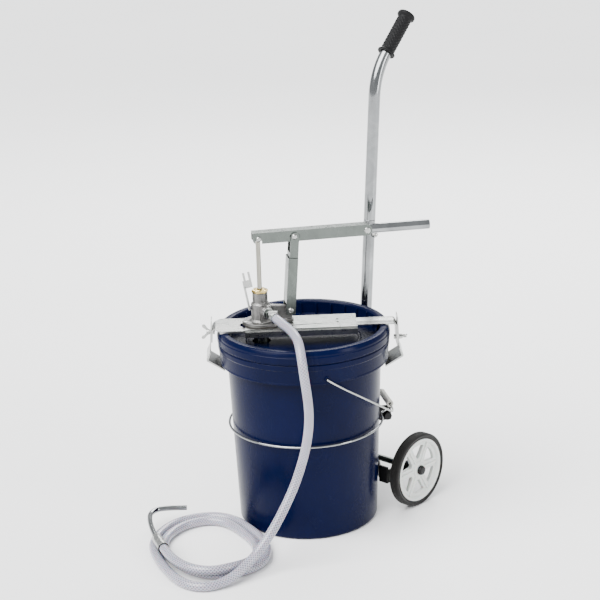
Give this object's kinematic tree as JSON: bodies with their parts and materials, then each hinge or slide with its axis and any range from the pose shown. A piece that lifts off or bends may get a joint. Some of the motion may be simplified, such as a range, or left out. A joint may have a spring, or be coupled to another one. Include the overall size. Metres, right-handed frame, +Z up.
{
  "type": "hand lever gear oil pump",
  "caption": "Hand-lever piston pump clamped across a round pail on a two-wheeled handle trolley, with a coiled delivery hose and a bent filling nozzle.",
  "frame": {"origin": "centre of the flat bottom of the pail, on the floor", "axes": "+Z up, +X along the clamp bar towards its plain end, -X towards the pump; the trolley handle stands at 46 degrees from +X towards +Y"},
  "size_m": [0.5539, 0.5767, 0.895],
  "materials": {
    "navy_enamel": "glossy dark blue enamel",
    "zinc_plate": "bright zinc plating",
    "bare_steel": "pressed steel with a thin grey-green plating",
    "cast_metal": "satin casting",
    "cast_brass": "dull plated brass",
    "chrome": "chrome plating",
    "black_steel": "black powder coating",
    "black_plastic": "matte black",
    "grip_rubber": "ribbed black rubber",
    "tyre_rubber": "black tyre rubber",
    "hub_plastic": "pale grey plastic",
    "grip_plastic": "pale grey plastic",
    "hose_pvc": "translucent braided hose, shown solid",
    "seal": "dark seal material"
  },
  "bodies": {
    "stand": {"pail": "navy_enamel", "lid": "navy_enamel", "lid_gasket": "seal", "clamp_channel": "zinc_plate", "hook_bolt_left": "zinc_plate", "flange_gasket": "seal", "flange_screw_1": "zinc_plate", "flange_screw_2": "zinc_plate", "flange_screw_3": "zinc_plate", "pump_body": "cast_metal", "gland_packing": "seal", "gland_nut": "cast_brass", "pump_cylinder": "bare_steel", "foot_valve_body": "cast_brass", "suction_strainer": "bare_steel", "outlet_fitting": "zinc_plate", "hose_clamp": "zinc_plate", "nozzle_rest": "zinc_plate", "link_base_pin": "zinc_plate", "hose_run": "hose_pvc", "hose_ferrule": "zinc_plate", "nozzle_pipe": "chrome", "handle_lower_tube": "chrome", "handle_upper_tube": "chrome", "handle_grip": "grip_rubber", "handle_bolt": "zinc_plate", "handle_nut": "zinc_plate", "wheel_bracket": "black_steel", "axle": "bare_steel", "near_axle_cap": "black_plastic", "far_axle_cap": "black_plastic", "cradle_strap": "black_steel", "hoop_wire": "chrome"},
    "rod": {"piston_rod": "bare_steel", "rod_pin": "zinc_plate", "piston": "cast_brass", "piston_cup": "seal"},
    "discharge_ball": {"piston_ball": "bare_steel"},
    "foot_ball": {"foot_valve_ball": "bare_steel"},
    "lever": {"lever_channel": "bare_steel", "lever_tube": "chrome", "lever_rivet": "zinc_plate"},
    "link": {"link_lower": "bare_steel", "link_upper": "bare_steel", "link_top_pin": "zinc_plate"},
    "arm": {"clamp_arm": "zinc_plate", "hook_bolt_right": "zinc_plate"},
    "hook_left": {"hook_left": "zinc_plate"},
    "hook_right": {"hook_right": "zinc_plate"},
    "wing_nut_left": {"wing_nut_left": "zinc_plate"},
    "wing_nut_right": {"wing_nut_right": "zinc_plate"},
    "near_wheel": {"near_tyre": "tyre_rubber", "near_hub": "hub_plastic"},
    "far_wheel": {"far_tyre": "tyre_rubber", "far_hub": "hub_plastic"},
    "bail": {"bail_wire": "zinc_plate"},
    "bail_grip": {"bail_grip": "grip_plastic"},
    "knob_near": {"hoop_knob_near": "black_plastic"},
    "knob_far": {"hoop_knob_far": "black_plastic"}
  },
  "joints": [
    {"name": "lever_hinge", "type": "hinge", "parent": "rod", "child": "lever", "pos_m": [-0.076, -0.004, 0.534], "axis": [0.1513, -0.9885, 0], "range_deg": [-12, 40]},
    {"name": "rod_slide", "type": "slide", "parent": "stand", "child": "rod", "axis": [0, 0, 1], "range_m": [-0.043, 0.013]},
    {"name": "link_hinge", "type": "hinge", "parent": "stand", "child": "link", "pos_m": [-0.02361, 0.00402, 0.398], "axis": [0.1513, -0.9885, 0], "range_deg": [-2, 5.5]},
    {"name": "piston_ball_lift", "type": "slide", "parent": "rod", "child": "discharge_ball", "axis": [0, 0, 1], "range_m": [0, 0.003]},
    {"name": "foot_ball_lift", "type": "slide", "parent": "stand", "child": "foot_ball", "axis": [0, 0, 1], "range_m": [0, 0.005]},
    {"name": "near_wheel_spin", "type": "hinge", "parent": "stand", "child": "near_wheel", "pos_m": [0.10437, 0.10808, 0.07], "axis": [-0.7193, 0.6947, 0], "continuous": true},
    {"name": "far_wheel_spin", "type": "hinge", "parent": "stand", "child": "far_wheel", "pos_m": [0.10437, 0.10808, 0.07], "axis": [-0.7193, 0.6947, 0], "continuous": true},
    {"name": "bail_swing", "type": "hinge", "parent": "stand", "child": "bail", "pos_m": [0, 0, 0.315], "axis": [0.2284, -0.9736, 0], "range_deg": [0, 20]},
    {"name": "bail_grip_spin", "type": "hinge", "parent": "bail", "child": "bail_grip", "pos_m": [0.14967, 0.03408, 0.20586], "axis": [-0.1191, 0.9898, -0.0783], "continuous": true},
    {"name": "arm_slide", "type": "slide", "parent": "stand", "child": "arm", "axis": [1, 0, 0], "range_m": [0, 0.02]},
    {"name": "hook_left_slide", "type": "slide", "parent": "stand", "child": "hook_left", "axis": [0.0698, 0, 0.9976], "range_m": [-0.012, 0]},
    {"name": "hook_right_slide", "type": "slide", "parent": "arm", "child": "hook_right", "axis": [-0.0349, 0, 0.9994], "range_m": [-0.012, 0]},
    {"name": "wing_nut_left_spin", "type": "hinge", "parent": "stand", "child": "wing_nut_left", "pos_m": [-0.17333, -0.004, 0.36163], "axis": [-0.9976, 0, 0.0698], "continuous": true},
    {"name": "wing_nut_right_spin", "type": "hinge", "parent": "arm", "child": "wing_nut_right", "pos_m": [0.17736, -0.004, 0.33907], "axis": [0.9994, 0, 0.0349], "continuous": true},
    {"name": "knob_near_spin", "type": "hinge", "parent": "stand", "child": "knob_near", "pos_m": [0.15068, 0.02657, 0.175], "axis": [0.1736, -0.9848, 0], "continuous": true},
    {"name": "knob_far_spin", "type": "hinge", "parent": "stand", "child": "knob_far", "pos_m": [0.02129, 0.15151, 0.175], "axis": [-0.9903, 0.1392, 0], "continuous": true}
  ],
  "couplings": [
    {"joint": "rod_slide", "follows": "lever_hinge", "m_per_rad": -0.06},
    {"joint": "link_hinge", "follows": "lever_hinge", "ratio": 0.12}
  ]
}
